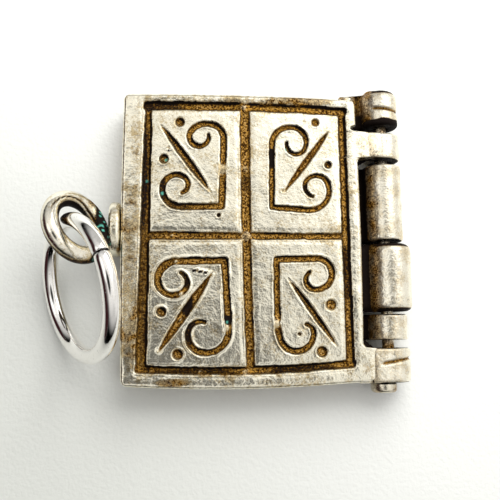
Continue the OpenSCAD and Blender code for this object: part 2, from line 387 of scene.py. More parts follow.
# Silver finishes. Columns: material slot, pale metal, tan metal, roughness, height of the grain
FINISHES = {
    "cast_silver_worn": ("cast_silver", (0.98, 0.93, 0.77), (0.6, 0.48, 0.28), 0.2, 0.009),
    "cast_silver_matt": ("cast_silver", (0.97, 0.92, 0.78), (0.74, 0.63, 0.44), 0.25, 0.018),
    "cast_silver_smooth": ("cast_silver", (0.97, 0.92, 0.79), (0.66, 0.55, 0.36), 0.13, 0.004),
    "pin_silver_worn": ("pin_silver", (0.8, 0.74, 0.6), (0.5, 0.42, 0.3), 0.22, 0.006),
    "polished_silver_bright": ("polished_silver", (0.97, 0.95, 0.92), (0.9, 0.87, 0.82), 0.05, 0.0006),
}
# Patches, grit, fine grain, specks and skin of the silver: width of a feature, detail, roughness
SILVER_NOISES = [
    (1.1, 3, 0.55),
    (0.13, 4, 0.75),
    (0.1, 1, 0.55),
    (0.08, 2, 0.55),
    (0.2, 1, 0.55),
]
# Ranges over which noise and tints turn one colour into the next
TAN_RANGE = (0.58, 0.8)
GOLD_RANGE = (0.45, 0.56)
TARNISH_RANGE = (0.2, 0.75)
SOOT_AND_SHADE_RANGE = (0.28, 0.62)
TARNISH_SPECKLE = 1.9
SOOT_AND_SHADE_SPECKLE = 1.8
SOOT_AND_SHADE_DULL = 0.96
TARNISH_DULL = 0.3
DULL_SHINE = 0.08
DULL_ROUGHNESS = 0.4
FINE_ROUGHNESS = 0.06
# Tints on the meshes; the black one holds both soot and painted shade
TINTS = ("tarnish", "soot", "verdigris")

# Uneven skin of the castings. Columns: width of a feature, height
CAST_SKIN = [
    (1.3, 0.014),
    (0.42, 0.007),
    (0.16, 0.004),
]
# Noise: its lattice is turned, so that it doesn't follow the leaves' edges, and shifted off zero
NOISE_TURN = np.array(Euler((0.5, 0.3, 0.65)).to_matrix())
NOISE_SHIFT = 1000
HASH_PRIMES = (73856093, 19349663, 83492791, 2654435)
HASH_ROUNDS = ((13, 1274126177), (16, 2246822519))


# Curves and noise

def smooth_step(t):
    t = np.clip(t, 0.0, 1.0)
    return t * t * (3 - 2 * t)


def rise(value, start, run):
    """0 up to the start, then a smooth climb to 1 over the run."""
    return smooth_step((value - start) / run)


def fall(value, end, run):
    """1, then a smooth drop over the run to 0 at the end."""
    return smooth_step((end - value) / run)


def bell(distance, spread):
    """1 at no distance, close to 0 from two spreads on."""
    return np.exp(-(distance / spread) ** 2)


def hash_lattice(ix, iy, iz, seed):
    """A fixed random value from 0 to 1 for each lattice point."""
    h = ix * HASH_PRIMES[0] ^ iy * HASH_PRIMES[1] ^ iz * HASH_PRIMES[2] ^ seed * HASH_PRIMES[3]
    for shift, factor in HASH_ROUNDS:
        h = (h ^ (h >> shift)) * factor & 0xFFFFFFFF
    return (h & 0xFFFFFF) / 0xFFFFFF


def noise(points, width, seed):
    """Smooth noise from -1 to 1 over points, with features about one width across."""
    p = np.asarray(points, dtype=float) @ NOISE_TURN / width + NOISE_SHIFT
    base = np.floor(p).astype(np.int64)
    f = smooth_step(p - base)
    total = np.zeros(len(p))
    for dx, dy, dz in np.ndindex(2, 2, 2):
        weight = np.abs(1 - dx - f[:, 0]) * np.abs(1 - dy - f[:, 1]) * np.abs(1 - dz - f[:, 2])
        total += weight * hash_lattice(base[:, 0] + dx, base[:, 1] + dy, base[:, 2] + dz, seed)
    return 2 * total - 1


def cast_skin(points, seed, amount=1.0):
    """Height of a casting's uneven skin."""
    layers = [noise(points, width, seed + i) * height for i, (width, height) in enumerate(CAST_SKIN)]
    return amount * sum(layers)


# Meshes

def make_piece(name, points, faces, material, body="root", node="back_cover", **tints):
    """A mesh from points in millimetres that rides on a body and stands for a CAD node."""
    mesh = bpy.data.meshes.new(name)
    mesh.from_pydata((np.asarray(points) * MM).tolist(), [], faces)
    mesh.validate()
    for key in TINTS:
        values = np.clip(tints.get(key, np.zeros(len(points))), 0, 1)
        mesh.attributes.new(key, "FLOAT", "POINT").data.foreach_set("value", values.astype(np.float32))
    mesh.polygons.foreach_set("use_smooth", [True] * len(mesh.polygons))
    mesh.materials.append(material)
    piece = bpy.data.objects.new(name, mesh)
    bpy.context.scene.collection.objects.link(piece)
    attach(piece, body)
    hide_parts(node)


def quads(n):
    """Faces between neighbours in a table of point numbers."""
    return np.stack([n[:-1, :-1], n[:-1, 1:], n[1:, 1:], n[1:, :-1]], 2).reshape(-1, 4).tolist()


def grid_faces(rows, columns, closed=False, joined=False):
    """Quads over rows of points that are closed, or whose last row joins the first, where asked."""
    numbers = np.arange(rows * columns).reshape(rows, columns)
    if closed:
        numbers = np.column_stack([numbers, numbers[:, 0]])
    if joined:
        numbers = np.vstack([numbers, numbers[:1]])
    return quads(numbers)


def capped_faces(rows, columns):
    """Quads over closed rows of points, with a flat face at each end."""
    caps = [tuple(range(columns - 1, -1, -1)), tuple((rows - 1) * columns + c for c in range(columns))]
    return grid_faces(rows, columns, closed=True) + caps


def soften(outline, rounds):
    """A closed outline whose points have moved towards their neighbours' middle."""
    for _ in range(rounds):
        outline = 0.5 * outline + 0.25 * (np.roll(outline, 1, 0) + np.roll(outline, -1, 0))
    return outline


def quarter(radius, angles):
    """Distances from both sides of a corner along the arc that rounds it."""
    return [(radius * (1 - math.cos(a)), radius * (1 - math.sin(a))) for a in angles]


def rolled_edge(distance, radius):
    """How far a rounded edge has dropped at a distance in from it."""
    d = np.clip(distance, 0, radius)
    return radius - np.sqrt(np.maximum(radius ** 2 - (radius - d) ** 2, 0))


def wire_points(radius, wire, t, s):
    """Points of a ring of wire in its own plane: a row for each t round it, a column for each s."""
    x = (radius + wire * np.cos(s)) * np.cos(t)
    y = (radius + wire * np.cos(s)) * np.sin(t)
    z = wire * np.sin(s) + 0 * t
    return np.stack([x, y, z], 2).reshape(-1, 3)


# Materials

def link(tree, source, target):
    tree.links.new(source, target)


def add(tree, kind, **settings):
    item = tree.nodes.new(kind)
    for key, value in settings.items():
        setattr(item, key, value)
    return item


def math_node(tree, operation, a, b, clamp=False):
    item = add(tree, "ShaderNodeMath", operation=operation, use_clamp=clamp)
    for socket, value in zip(item.inputs, (a, b)):
        if isinstance(value, (int, float)):
            socket.default_value = value
        else:
            link(tree, value, socket)
    return item.outputs[0]


def times(tree, a, b):
    return math_node(tree, "MULTIPLY", a, b)


def minus(tree, a, b, clamp=False):
    return math_node(tree, "SUBTRACT", a, b, clamp)


def plus(tree, first, *others):
    total = first
    for value in others:
        total = math_node(tree, "ADD", total, value)
    return total


def greater(tree, a, b):
    return math_node(tree, "MAXIMUM", a, b)


def noise_node(tree, coords, width, detail, roughness):
    item = add(tree, "ShaderNodeTexNoise")
    item.inputs["Scale"].default_value = 1 / (width * MM)
    item.inputs["Detail"].default_value = detail
    item.inputs["Roughness"].default_value = roughness
    link(tree, coords, item.inputs["Vector"])
    return item.outputs["Fac"]


def ramp(tree, value, low, high):
    """Value stretched so that low becomes 0 and high becomes 1."""
    item = add(tree, "ShaderNodeMapRange", clamp=True, interpolation_type="SMOOTHSTEP")
    item.inputs["From Min"].default_value = low
    item.inputs["From Max"].default_value = high
    link(tree, value, item.inputs["Value"])
    return item.outputs["Result"]


def mix_colour(tree, amount, a, b):
    item = add(tree, "ShaderNodeMix", data_type="RGBA")
    link(tree, amount, item.inputs["Factor"])
    for socket, value in ((item.inputs[6], a), (item.inputs[7], b)):
        if isinstance(value, tuple):
            socket.default_value = (*value, 1)
        else:
            link(tree, value, socket)
    return item.outputs[2]


def add_bump(tree, shader, height, depth):
    """Relief of a depth in millimetres in the shading of a surface."""
    bump = add(tree, "ShaderNodeBump")
    bump.inputs["Strength"].default_value = 1.0
    bump.inputs["Distance"].default_value = depth * MM
    link(tree, height, bump.inputs["Height"])
    link(tree, bump.outputs["Normal"], shader.inputs["Normal"])


def new_material(name):
    """A material with its node tree, its shader and the object's own coordinates."""
    material = bpy.data.materials.new(name)
    material.use_nodes = True
    tree = material.node_tree
    coords = add(tree, "ShaderNodeTexCoord").outputs["Object"]
    return material, tree, tree.nodes["Principled BSDF"], coords


def silver_material(name, slot, pale, tan, roughness, grain):
    """Worn silver: pale and tan metal, golden tarnish, black soot and painted shade, and green salts."""
    material, tree, shader, coords = new_material(name)
    material["slot"] = slot
    tints = [add(tree, "ShaderNodeAttribute", attribute_name=key) for key in TINTS]
    tarnish, soot, green = [item.outputs["Fac"] for item in tints]
    patches, grit, fine, specks, skin = [noise_node(tree, coords, *row) for row in SILVER_NOISES]
    stained = plus(tree, times(tree, patches, 0.5), times(tree, grit, 0.7), times(tree, tarnish, 0.4))
    metal = mix_colour(tree, ramp(tree, stained, *TAN_RANGE), pale, tan)
    speckled = plus(tree, times(tree, grit, 0.5), times(tree, specks, 0.5))
    gold = mix_colour(tree, ramp(tree, speckled, *GOLD_RANGE), DEEP_BROWN, GOLD_BROWN)
    bare = times(tree, minus(tree, speckled, 0.5), TARNISH_SPECKLE)
    golden = ramp(tree, minus(tree, tarnish, bare), *TARNISH_RANGE)
    spread = times(tree, minus(tree, specks, 0.5), SOOT_AND_SHADE_SPECKLE)
    sooty = ramp(tree, plus(tree, soot, spread), *SOOT_AND_SHADE_RANGE)
    colour = mix_colour(tree, golden, metal, gold)
    colour = mix_colour(tree, sooty, colour, SOOT_AND_SHADE_BLACK)
    colour = mix_colour(tree, green, colour, VERDIGRIS)
    link(tree, colour, shader.inputs["Base Color"])

    dull = greater(tree, greater(tree, times(tree, sooty, SOOT_AND_SHADE_DULL), green),
                   times(tree, golden, TARNISH_DULL))
    link(tree, minus(tree, 1.0, dull, clamp=True), shader.inputs["Metallic"])
    shader.inputs["Specular IOR Level"].default_value = DULL_SHINE
    rougher = plus(tree, roughness, times(tree, dull, DULL_ROUGHNESS))
    rougher = math_node(tree, "ADD", rougher, times(tree, fine, FINE_ROUGHNESS), clamp=True)
    link(tree, rougher, shader.inputs["Roughness"])
    add_bump(tree, shader, plus(tree, skin, times(tree, fine, 0.5)), grain)
    return material


def floor_material():
    """Pale fine-grained sheet with painted shade that darkens it a little towards the lower left."""
    material, tree, shader, coords = new_material("pale_floor")
    split = add(tree, "ShaderNodeSeparateXYZ")
    link(tree, coords, split.inputs["Vector"])
    # Painted shade: the colour goes over to FLOOR_DIM towards the lower left
    diagonal = plus(tree, split.outputs["X"], split.outputs["Y"])
    near = ramp(tree, diagonal, FLOOR_FADE[0] * MM, FLOOR_FADE[1] * MM)
    link(tree, mix_colour(tree, near, FLOOR_DIM, FLOOR_PALE), shader.inputs["Base Color"])
    shader.inputs["Roughness"].default_value = FLOOR_ROUGHNESS
    add_bump(tree, shader, noise_node(tree, coords, FLOOR_GRAIN, 3, 0.55), FLOOR_RELIEF)
    return material


# Leaves

def leaf_lines(half, step):
    """Grid lines across a leaf, closer together where its edge rolls over."""
    reach = half - INNER_FROM
    inner = np.linspace(-reach, reach, int(round(2 * reach / step)) + 1)
    return np.concatenate([EDGE_LINES - half, inner, half - EDGE_LINES[::-1]])


def leaf_plan(step):
    """Grid of points over a leaf's outline, with round corners and bowed edges."""
    x, y = np.meshgrid(leaf_lines(HALF_W, step), leaf_lines(HALF_H, step))
    edge = np.minimum(HALF_W - np.abs(x), HALF_H - np.abs(y))
    a = np.clip((np.abs(x) - HALF_W + CORNER_R) / CORNER_R, 0, 1)
    b = np.clip((np.abs(y) - HALF_H + CORNER_R) / CORNER_R, 0, 1)
    corner = (a > 0) & (b > 0)
    px = np.where(corner, np.sign(x) * (HALF_W - CORNER_R * (1 - a * np.sqrt(1 - b * b / 2))), x)
    py = np.where(corner, np.sign(y) * (HALF_H - CORNER_R * (1 - b * np.sqrt(1 - a * a / 2))), y)
    across = 1 - (px / HALF_W) ** 2
    along = 1 - (py / HALF_H) ** 2
    py = py + np.abs(py / HALF_H) ** 6 * across * np.where(py > 0, TOP_BOW, -BOTTOM_BOW)
    px = px + np.abs(px / HALF_W) ** 6 * along * np.where(px > 0, SPINE_BOW, -SIDE_BOW)
    return px, py, edge


def spine_reach(y):
    """How far the front cover's spine edge stands out at each y."""
    reach = np.zeros_like(y)
    for low, high in STRAP_ROWS:
        reach = np.where((y > low) & (y < high), STRAP_REACH, reach)
        for start, side in ((low, -1), (high, 1)):
            t = np.clip(1 - side * (y - start) / FILLET_R, 0, 1)
            on_fillet = (side * (y - start) > 0) & (y < FILLETS_BELOW)
            reach = np.where(on_fillet, np.maximum(reach, FILLET_R * (1 - np.sqrt(1 - t * t))), reach)
    t = np.clip((y - SLOT_Y) / SLOT_HALF, -1, 1)
    return reach - SLOT_DEPTH * np.sqrt(1 - t * t)


def front_plan(step):
    """The leaf's plan, drawn out at the spine into the straps of the front cover's knuckles."""
    px, py, edge = leaf_plan(step)
    share = np.clip((px - HALF_W + STRAP_RUN) / STRAP_RUN, 0, 1) ** 1.5
    low_corner = np.clip((-py - HALF_H + CORNER_TRIM_RUN) / CORNER_TRIM_RUN, 0, 1) * (px > 0)
    px = px + share * spine_reach(py) - CORNER_TRIM * low_corner * share
    return px, py, edge


def stroke_distance(x, y, path, half):
    """Distance to the side of a stroke that thins out along a path, negative inside it."""
    best = np.full(x.shape, np.inf)
    for i, ((ax, ay), (bx, by)) in enumerate(zip(path[:-1], path[1:])):
        dx, dy = bx - ax, by - ay
        t = np.clip(((x - ax) * dx + (y - ay) * dy) / (dx * dx + dy * dy), 0, 1)
        width = half * (1 - SCROLL_TAPER * ((i + t) / (len(path) - 1)) ** 1.5)
        best = np.minimum(best, np.hypot(x - ax - t * dx, y - ay - t * dy) - width)
    return best


def line_places(x, y, ax, ay, bx, by):
    """Length of a line, and each point's place along it and to its left."""
    length = math.hypot(bx - ax, by - ay)
    ux, uy = (bx - ax) / length, (by - ay) / length
    return length, (x - ax) * ux + (y - ay) * uy, (y - ay) * ux - (x - ax) * uy


def groove_distance(x, y, row):
    """Distance to the side of a bowed groove with short ends, negative inside it."""
    start_w, end_w, bow = row[4:]
    length, along, left = line_places(x, y, *row[:4])
    t = np.clip(along / length, 0, 1)
    sideways = left - bow * 4 * t * (1 - t)
    past_end = np.maximum(np.maximum(-along, along - length), 0)
    return np.hypot(sideways, past_end * 3) - (start_w + (end_w - start_w) * t) / 2


def spear_distance(x, y, row):
    """Distance to the side of a spear that is widest in its middle, negative inside it."""
    length, along, left = line_places(x, y, *row[:4])
    t = along / length
    belly = SPEAR_HALF * row[4] * np.clip(4 * t * (1 - t), 0, 1) ** 0.8
    return np.abs(left) - belly + np.where((t < 0) | (t > 1), 9, 0)


def scroll_arm(corner, turn, arm):
    """Points of a scroll's arm: a straight line, then three arcs that curl inwards."""
    heading = math.radians(arm[0])
    here = np.array(corner, dtype=float)
    points = [here]
    here = here + arm[1] * np.array([math.cos(heading), math.sin(heading)])
    points.append(here)
    for radius, sweep in zip(arm[2::2], arm[3::2]):
        steps = math.ceil(sweep / CURL_STEP)
        half = math.radians(sweep) / steps / 2
        for _ in range(steps):
            heading += turn * half
            here = here + 2 * radius * math.sin(half) * np.array([math.cos(heading), math.sin(heading)])
            heading += turn * half
            points.append(here)
    return points


def cut_profile(distance, depth, slope, middle=0.5):
    """Depth of a cut with sloping sides; middle is how far down the slope its outline lies."""
    return depth * smooth_step(-distance / slope + middle)


def on_plane(x, y):
    return np.stack([x, y, 0 * x], 1)


def ornament(x, y):
    """Depth of the cover's cuts, and distances to the broad grooves and to the fine cuts."""
    flat = on_plane(x, y)
    wobble = WOBBLE[0] * noise(flat, WOBBLE[1], 31)
    ragged = RAGGED[0] * noise(flat, RAGGED[1], 32)
    border = np.min([groove_distance(x, y, row) for row in BORDER_GROOVES], axis=0) + wobble + ragged
    cross = np.min([groove_distance(x, y, row) for row in CROSS_GROOVES], axis=0) + 0.7 * wobble + ragged
    cuts = [cut_profile(border, BORDER_DEPTH, BORDER_SLOPE), cut_profile(cross, CROSS_DEPTH, CROSS_SLOPE)]
    ox = x - ORNAMENT_X
    fine = []
    for cx, cy, width, turn, upright, level in SCROLLS:
        for side, arm in ((turn, upright), (-turn, level)):
            path = scroll_arm((cx, cy), side, arm)
            fine.append(stroke_distance(ox, y, path, SCROLL_HALF * width) + 0.7 * wobble + ragged)
            cuts.append(cut_profile(fine[-1], SCROLL_DEPTH, SCROLL_SLOPE))
    for row in SPEARS:
        fine.append(spear_distance(ox, y, row) + ragged)
        cuts.append(cut_profile(fine[-1], SPEAR_DEPTH, SPEAR_SLOPE, 0.25))
    for dx, dy, size, deep in DOTS:
        fine.append(np.hypot(ox - dx, y - dy) - DOT_R * size + 0.8 * wobble)
        cuts.append(cut_profile(fine[-1], DOT_DEPTH * deep, 0.5 * DOT_R * size + 0.05, 0.3))
    depth = np.max(cuts, axis=0)
    for wx, wy, radius, share in WORN_CUTS:
        depth *= 1 - share * bell(np.hypot(ox - wx, y - wy), radius)
    return depth, np.minimum(border, cross), np.min(fine, axis=0)


def patch(x, y, rows):
    """Greatest amount at each point of a table of soft ovals."""
    level = np.zeros_like(x)
    for px, py, half_x, half_y, amount in rows:
        reach = ((x - px) / half_x) ** 2 + ((y - py) / half_y) ** 2
        level = np.maximum(level, amount * fall(reach, 1.5, 1))
    return level


def ridge(distance, heights, rubbed, low_left):
    """Height of the ridge that runs beside a cut."""
    low, more, most = heights
    return (low + (more + most * low_left) * rubbed) * bell(distance - RIDGE_AT, RIDGE_SPREAD)


def front_height(flat, edge, depth, broad, fine, cut):
    """Height of the front cover's face: cuts, ridges beside them, soft shoulders, worn skin."""
    rubbed = rise(noise(flat, 1.1, 33), -0.4, 0.8)
    low_left = fall(flat[:, 0], 1.5, 2) * fall(flat[:, 1], 0.5, 2)
    ridges = ridge(fine, FINE_RIDGE, rubbed, low_left) + ridge(broad, BROAD_RIDGE, rubbed, low_left)
    shoulder = SHOULDER_DROP * fall(broad, SHOULDER_REACH, SHOULDER_REACH)
    height = -depth + ridges * (1 - cut) - shoulder + CUT_GRAIN * noise(flat, 0.11, 34) * cut
    height += cast_skin(flat, 5) - rolled_edge(edge, FRONT_ROLL) - FACE_SINK
    ripple = BROAD_RIPPLE * noise(flat, 0.3, 35) + FINE_RIPPLE * noise(flat, 0.12, 36)
    return height + ripple * fall(edge, 0.75, 0.3)


def front_tints(flat, edge, slope, broad, fine, cut):
    """Tarnish in the cuts and on the rim, less of it as a painted highlight on walls that face the upper
    right, painted shade on walls that face the lower left, soot in the cuts and in pits, green spots.
    """
    x, y = flat[:, 0], flat[:, 1]
    near = np.minimum(broad, fine)
    halo = np.maximum(*[amount * np.exp(-np.maximum(distance, 0) / reach)
                        for distance, (amount, reach) in ((near, HALO), (broad, BROAD_HALO))])
    # Painted highlight: less tarnish on cut walls that face the lit upper right
    lit_side = fall(slope, LIT_FROM, SIDE_RUN)
    rubbed_floor = fall(near, -0.07, 0.08)
    tarnish = np.maximum((CUT_TARNISH - CUT_RUBBED * rubbed_floor) * cut, halo) * (1 - LIT_SIDE_HIGHLIGHT * lit_side)
    rim = fall(edge, 1.0, 0.25) * (1 - 0.8 * rise(x, 2, 3))
    blotch = rise(noise(flat, 0.8, 41) + 0.9 * noise(flat, 0.2, 42), -0.4, 1.6) * rim
    tarnish += RIM_BLOTCH * blotch + patch(x, y, STAINS)
    # Painted shade: black on cut walls that face the lower left, away from the light
    shaded_wall = rise(slope - DARK_UNEVEN * noise(flat, 0.7, 43), DARK_FROM, SIDE_RUN)
    foot = FOOT_SOOT * bell(near + FOOT_SPREAD, FOOT_SPREAD) * cut
    soot = np.maximum.reduce([shaded_wall, foot, patch(x, y, SOOTY) * cut, patch(x, y, PITS)])
    return tarnish, soot, patch(x, y, GREEN_SPOTS)


def front_relief(x, y, edge):
    """Height of the front cover's face above its flat, and its tints."""
    flat = on_plane(x, y)
    depth, broad, fine = ornament(x, y)
    low_left_depth = ornament(x - SOFT_SIDE, y - SOFT_SIDE)[0]
    slope = low_left_depth - ornament(x + SOFT_SIDE, y + SOFT_SIDE)[0]
    depth = np.minimum(depth, (depth + low_left_depth) / 2)
    cut = rise(depth, 0, FULL_CUT)
    height = front_height(flat, edge, depth, broad, fine, cut)
    return height, front_tints(flat, edge, slope, broad, fine, cut)


def plain_tints(x, tarnish):
    """Tints of a face without ornament: its tarnish, and painted shade by the spine."""
    return tarnish, rise(x, SPINE_SHADE_X, SPINE_SHADE_RUN), 0 * x


def broad_relief(seed):
    """Relief of a leaf's underside, as coarse as the rings of points there."""
    def relief(x, y, edge):
        flat = on_plane(x, y)
        height = 0.014 * noise(flat, 1.8, seed) - rolled_edge(edge, PLAIN_ROLL)
        return height, plain_tints(x, 0.16 + 0.16 * noise(flat, 2.2, seed + 7) + 0.3 * fall(edge, 0.6, 0.6))
    return relief


def plain_relief(seed):
    """Relief of a leaf's upper face where it has no ornament."""
    def relief(x, y, edge):
        flat = on_plane(x, y)
        height = cast_skin(flat, seed) - rolled_edge(edge, PLAIN_ROLL)
        rub = rise(noise(flat, 1.1, seed + 7) + 0.5 * noise(flat, 0.35, seed + 8), 0.1, 0.9)
        return height, plain_tints(x, 0.3 * rub + 0.3 * fall(edge, 0.35, 0.35) * rub)
    return relief


def rim_loop(rows, columns):
    """Numbers of the points round the edge of a grid, in order."""
    numbers = np.arange(rows * columns).reshape(rows, columns)
    return np.concatenate([numbers[0], numbers[1:, -1], numbers[-1, -2::-1], numbers[-2:0:-1, 0]])


def wall_row(rim_xy, rim_z, foot_z, t, seed):
    """Points of a leaf's wall a share t of the way down, and their tints; the wall darkens towards its foot
    as painted shade.
    """
    place = np.concatenate([rim_xy, (rim_z * (1 - t) + foot_z * t)[:, None]], 1)
    outward = rim_xy / np.linalg.norm(rim_xy, axis=1)[:, None]
    place[:, :2] += outward * (0.6 * cast_skin(place, seed + 3) - 0.012)[:, None]
    # Painted shade: darker towards the wall's foot, between the leaves and by the floor
    soot = np.full(len(place), 0.3 * smooth_step(1.3 * t - 0.2))
    return place, (0.35 + 0.35 * noise(place, 0.5, seed + 4), soot, 0 * soot)


def leaf_shell(z, plan, top_relief, low_relief, seed):
    """Closed shell of a leaf: gridded face, wall round the outline, rings below."""
    px, py, edge = plan
    rows, columns = px.shape
    x, y = px.ravel(), py.ravel()
    top_h, top_tints = top_relief(x, y, edge.ravel())
    points = [np.stack([x, y, z + LEAF_T + top_h], 1)]
    tints = [top_tints]
    rim = rim_loop(rows, columns)
    rim_xy, rim_z = points[0][rim, :2], points[0][rim, 2]
    for i in range(1, WALL_ROWS + 1):
        place, wall_tints = wall_row(rim_xy, rim_z, z + WALL_FOOT, i / WALL_ROWS, seed)
        points.append(place)
        tints.append(wall_tints)
    for inset in UNDERSIDE_RINGS:
        shrunk = rim_xy * (1 - inset / HALF_W)
        low_h, low_tints = low_relief(shrunk[:, 0], shrunk[:, 1], np.full(len(rim), inset))
        points.append(np.concatenate([shrunk, (z + UNDERSIDE_LIFT - low_h)[:, None]], 1))
        tints.append(low_tints)
    below = rows * columns + np.arange((len(points) - 1) * len(rim)).reshape(-1, len(rim))
    rings = np.vstack([rim, below])
    faces = grid_faces(rows, columns) + quads(np.column_stack([rings, rings[:, 0]]).T)
    faces.append(rings[-1, ::-1].tolist())
    return np.concatenate(points), faces, dict(zip(TINTS, map(np.concatenate, zip(*tints))))


def build_leaves(silver):
    plain = leaf_plan(PLAIN_STEP)
    leaves = [
        ("front_cover_plate", "cover", FRONT_Z, front_plan(FRONT_STEP), front_relief, broad_relief(61), 60),
        ("back_cover_plate", "root", 0, plain, plain_relief(71), broad_relief(74), 71),
        ("page_leaf_plate", "page", LEAF_PITCH, plain, plain_relief(81), broad_relief(84), 81),
    ]
    for name, body, *shape in leaves:
        points, faces, tints = leaf_shell(*shape)
        make_piece(name, points, faces, silver, body, CAD_NODE[body], **tints)


# Hinge

def strap_reach(dx, dz, middle):
    """How far a ray from the hinge's axis runs in the strap that joins a leaf, 0 outside it."""
    reach = (HALF_W - STRAP_ROOT - HINGE_X) / dx
    top = middle + LEAF_T / 2 - STRAP_INSET - HINGE_Z
    low = middle - LEAF_T / 2 + STRAP_INSET - HINGE_Z
    z = reach * dz
    if low <= z <= top:
        return reach
    if z > top > 0:
        return min(reach, top / dz)
    if z < low < 0:
        return min(reach, low / dz)
    return 0.0


def knuckle_outline(leaf_z, radius, shift_x, shift_z):
    """Closed outline in X and Z of a barrel with its strap, in evenly spaced points."""
    angles = np.linspace(-math.pi, math.pi, OUTLINE_RAYS, endpoint=False)
    r = np.empty(len(angles))
    for i, a in enumerate(angles):
        dx, dz = math.cos(a), math.sin(a)
        b = -shift_x * dx - shift_z * dz
        c = shift_x ** 2 + shift_z ** 2 - radius ** 2
        r[i] = -b + math.sqrt(b * b - c)
        if dx < -0.2:
            r[i] = max(r[i], strap_reach(dx, dz, leaf_z + LEAF_T / 2))
    outline = np.stack([HINGE_X + r * np.cos(angles), HINGE_Z + r * np.sin(angles)], 1)
    steps = np.linalg.norm(np.roll(outline, -1, 0) - outline, axis=1)
    length = np.concatenate([[0], np.cumsum(steps)])
    where = np.linspace(0, length[-1], OUTLINE_POINTS, endpoint=False)
    closed = np.vstack([outline, outline[:1]])
    return soften(np.stack([np.interp(where, length, closed[:, k]) for k in (0, 1)], 1), 2)


def knuckle_levels(y0, y1, low_round, high_round):
    """Y of a barrel's rows of points, closer together over its rounded ends."""
    bend = 1 - np.cos(np.linspace(0, math.pi / 2, ROUND_ROWS))
    low_end, high_end = y0 + low_round * bend, y1 - high_round * bend
    inner = np.linspace(low_end[-1], high_end[-1], max(ROUND_ROWS, int((y1 - y0) / BARREL_STEP)))
    return np.concatenate([low_end[:-1], inner, high_end[:-1][::-1]])


def knuckle_zones(outline, angle, row):
    """How much each point of an outline belongs to each zone."""
    body, leaf_z, radius, crease = row[1], row[2], row[5], row[11]
    x, z = outline[:, 0], outline[:, 1]
    fixed = body != "cover"
    return {
        "barrel": rise(x, HINGE_X - radius, 0.6),
        "outer": rise(x, HINGE_X - 0.85, 0.3) * rise(angle, -0.9, 0.4),
        "crease": bell(x - HALF_W - crease, 0.1) * (z > leaf_z + LEAF_T / 2),
        "stain": fall(x, HINGE_X - 0.35, 0.6) * (0.15 + 0.35 * fixed),
        # Zone of painted shade, where the strap lies deep in the gap beside the cover
        "gap": fall(x, HINGE_X - 1.0, 0.15) * fixed,
    }


def knuckle_tints(place, y, inset, groove, zones, row, seed):
    """Tarnish, soot and painted shade of one row of a barrel's points."""
    y0, sooty_end = row[3], row[12]
    stain = 0.12 + 0.2 * noise(place, 0.4, seed + 5) + zones["stain"]
    # Painted shade on the barrels' rounded ends and at the first knuckle's low end
    end_face = rise(inset, 0.04, 0.08) * zones["barrel"]
    low_soot = 0.9 * fall(y - 0.1 * noise(place, 0.5, seed + 7), y0 + sooty_end, 0.15)
    gap = zones["gap"] * fall(y, GAP_SHADE_TOP, 0.3)
    tarnish = np.maximum.reduce([stain + 0.3 * zones["crease"], groove, end_face, low_soot])
    soot = np.maximum.reduce([0.35 * groove, gap, 0.8 * end_face, 0.6 * zones["crease"], low_soot])
    return tarnish, soot


def build_knuckle(row, silver, seed):
    """Barrel with its strap, as a row of outlines along Y, bored for the pin."""
    name, body, leaf_z, y0, y1, radius, shift_x, shift_z, low_round, high_round, groove_y = row[:11]
    outline = knuckle_outline(leaf_z, radius, shift_x, shift_z)
    count = len(outline)
    tangent = np.roll(outline, -1, 0) - np.roll(outline, 1, 0)
    normal = np.stack([tangent[:, 1], -tangent[:, 0]], 1)
    normal /= np.linalg.norm(normal, axis=1)[:, None]
    angle = np.arctan2(outline[:, 1] - HINGE_Z, outline[:, 0] - HINGE_X)
    zones = knuckle_zones(outline, angle, row)
    bore = np.stack([HINGE_X + BORE_R * np.cos(angle), 0 * angle, HINGE_Z + BORE_R * np.sin(angle)], 1)
    ends = np.full(count, 0.9)
    rows = [(bore + (0, y0 + 0.02, 0), ends, ends * 0.8)]
    for y in knuckle_levels(y0, y1, low_round, high_round):
        inset = rolled_edge(y - y0, low_round) + rolled_edge(y1 - y, high_round)
        sunk = CREASE_DEPTH * zones["crease"] + min(inset, END_DROP)
        sunk += zones["barrel"] * max(0, inset - END_DROP)
        groove = np.zeros(count)
        if groove_y is not None:
            groove_at = groove_y - GROOVE_SLANT[body] * (outline[:, 0] - HINGE_X)
            groove = zones["outer"] * np.clip(1 - np.abs(y - groove_at) / GROOVE_HALF, 0, 1)
        place = np.stack([outline[:, 0], np.full(count, y), outline[:, 1]], 1)
        skin = cast_skin(place, seed, 1.5)
        place[:, [0, 2]] += normal * (skin - sunk - GROOVE_DEPTH * groove - 0.02)[:, None]
        rows.append((place, *knuckle_tints(place, y, inset, groove, zones, row, seed)))
    rows.append((bore + (0, y1 - 0.02, 0), ends, ends * 0.8))
    points, tarnish, soot = map(np.concatenate, zip(*rows))
    faces = grid_faces(len(rows), count, closed=True, joined=True)
    make_piece(name, points, faces, silver, body, CAD_NODE[body], tarnish=tarnish, soot=soot)


